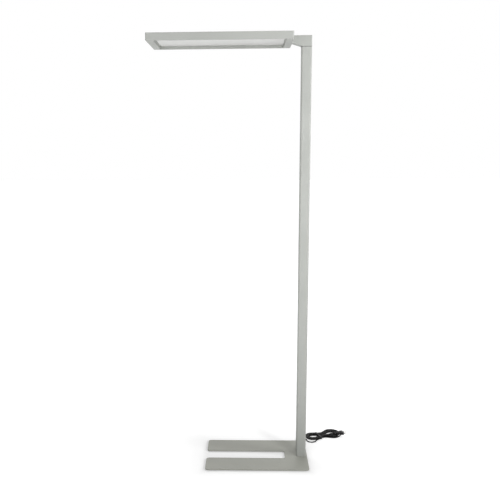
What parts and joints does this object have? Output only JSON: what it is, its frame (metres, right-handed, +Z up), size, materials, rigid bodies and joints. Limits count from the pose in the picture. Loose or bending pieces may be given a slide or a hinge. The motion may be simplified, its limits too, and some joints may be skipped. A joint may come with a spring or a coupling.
{
  "type": "office floor lamp",
  "caption": "Office floor lamp: flat rectangular head with a recessed lower diffuser on a square post, U-shaped base plate, push button, folded mains lead with plug.",
  "frame": {"origin": "on the floor, under the axis of the square post", "axes": "+Z up along the post; the head and the open side of the base point along -X; +Y is the back, where the button and the mains lead are"},
  "size_m": [0.9413, 0.4792, 1.95],
  "materials": {
    "base_paint": "satin silver-grey powder coat on steel",
    "silver_paint": "satin silver-grey powder coat on aluminium",
    "bare_aluminium": "mill finish",
    "steel": "zinc plated",
    "pad_rubber": "matte",
    "nickel": "nickel plated",
    "black_plastic": "fine texture",
    "driver_plastic": "matte",
    "lead_insulation": "smooth",
    "diffuser_acrylic": "satin translucent",
    "clear_acrylic": "clear",
    "reflector_film": "matte white",
    "circuit_board": "solder resist",
    "terminal_plastic": "matte",
    "cord_pvc": "glossy black",
    "tie_strap": "woven"
  },
  "bodies": {
    "lamp": {"base_plate": "base_paint", "foot_pads": "pad_rubber", "base_screws": "steel", "post_profile": "silver_paint", "driver_carrier": "bare_aluminium", "driver": "driver_plastic", "inner_leads": "lead_insulation", "button_bezel": "nickel", "button_nut": "steel", "button_spring": "steel", "switch_body": "black_plastic", "neck_casting": "silver_paint", "neck_set_screws": "steel", "head_screws": "steel", "left_end_cap": "silver_paint", "right_end_cap": "silver_paint", "front_rail": "silver_paint", "back_rail": "silver_paint", "end_cap_screws": "steel", "lower_diffuser": "diffuser_acrylic", "light_guide": "clear_acrylic", "reflector_sheet": "reflector_film", "edge_led_strips": "circuit_board", "led_tray": "bare_aluminium", "uplight_boards": "circuit_board", "upper_cover": "clear_acrylic", "terminal_block": "terminal_plastic", "cord_gland": "black_plastic", "gland_nut": "black_plastic", "mains_cord": "cord_pvc", "cord_hank": "cord_pvc", "cord_tie": "tie_strap", "plug_body": "black_plastic", "plug_pins": "nickel"},
    "button": {"button_cap": "bare_aluminium"}
  },
  "joints": [
    {"name": "button_press", "type": "slide", "parent": "lamp", "child": "button", "axis": [0, -1, 0], "range_m": [0, 0.0012], "stiffness_N_per_m": 600, "deforming": ["button_spring"]}
  ]
}
